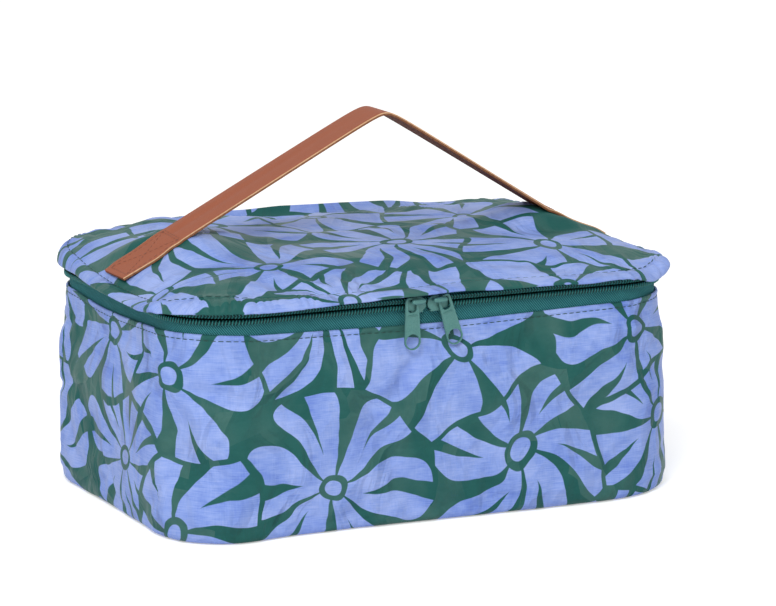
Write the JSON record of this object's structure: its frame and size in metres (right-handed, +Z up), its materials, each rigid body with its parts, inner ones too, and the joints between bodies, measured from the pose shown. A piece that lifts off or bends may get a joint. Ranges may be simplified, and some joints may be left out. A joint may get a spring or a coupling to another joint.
{
  "type": "zipped toiletry bag",
  "caption": "Soft rounded box bag of coated printed cloth over foam, with a padded lid zipped on three sides and hinged at the back, and a strap handle.",
  "frame": {"origin": "on the surface the bag stands on, under the middle of the bag's overall length and depth", "axes": "+X along the bag's length to the right seen from the front, -Y towards the front with the zip sliders, +Z up"},
  "size_m": [0.273, 0.191, 0.1795],
  "materials": {
    "printed_cloth": "coated woven cloth, semi-gloss, floral print",
    "foam": "soft sheet foam",
    "lining_cloth": "plain woven lining",
    "board": "stiffening sheet",
    "zip_tape": "twill tape",
    "zip_coil": "dyed coil",
    "zip_metal": "satin enamel",
    "strap": "smooth, light cut edges"
  },
  "bodies": {
    "body": {"wall_panel": "printed_cloth", "back_panel": "printed_cloth", "base_panel": "printed_cloth", "wall_foam": "foam", "wall_lining": "lining_cloth", "base_board": "board", "floor_lining": "lining_cloth", "lower_zip_tape": "zip_tape", "lower_zip_coil": "zip_coil", "lower_hinge": "printed_cloth"},
    "lid": {"lid_panel": "printed_cloth", "lid_foam": "foam", "lid_lining": "lining_cloth", "upper_zip_tape": "zip_tape", "upper_zip_coil": "zip_coil", "upper_hinge": "printed_cloth", "handle_left_end": "strap", "handle_right_end": "strap"},
    "handle": {"handle_arch": "strap"},
    "slider_l": {"slider_left": "zip_metal"},
    "slider_r": {"slider_right": "zip_metal"},
    "pull_l": {"pull_tab_left": "zip_metal"},
    "pull_r": {"pull_tab_right": "zip_metal"}
  },
  "joints": [
    {"name": "lid_hinge", "type": "hinge", "parent": "body", "child": "lid", "pos_m": [0, 0.089, 0.1037], "axis": [-1, 0, 0], "range_deg": [0, 110]},
    {"name": "handle_tip", "type": "hinge", "parent": "lid", "child": "handle", "pos_m": [0, 0, 0.134], "axis": [1, 0, 0], "range_deg": [-32, 32], "stiffness_Nm_per_rad": 0.05},
    {"name": "left_slider_run", "type": "slide", "parent": "body", "child": "slider_l", "axis": [-1, 0, 0], "range_m": [0, 0.073]},
    {"name": "right_slider_run", "type": "slide", "parent": "body", "child": "slider_r", "axis": [1, 0, 0], "range_m": [0, 0.09]},
    {"name": "left_pull_swing", "type": "hinge", "parent": "slider_l", "child": "pull_l", "pos_m": [-0.017, -0.0915, 0.1053], "axis": [0, -1, 0], "range_deg": [-70, 15]},
    {"name": "right_pull_swing", "type": "hinge", "parent": "slider_r", "child": "pull_r", "pos_m": [-0.0005, -0.0915, 0.1053], "axis": [0, -1, 0], "range_deg": [-15, 50]}
  ]
}
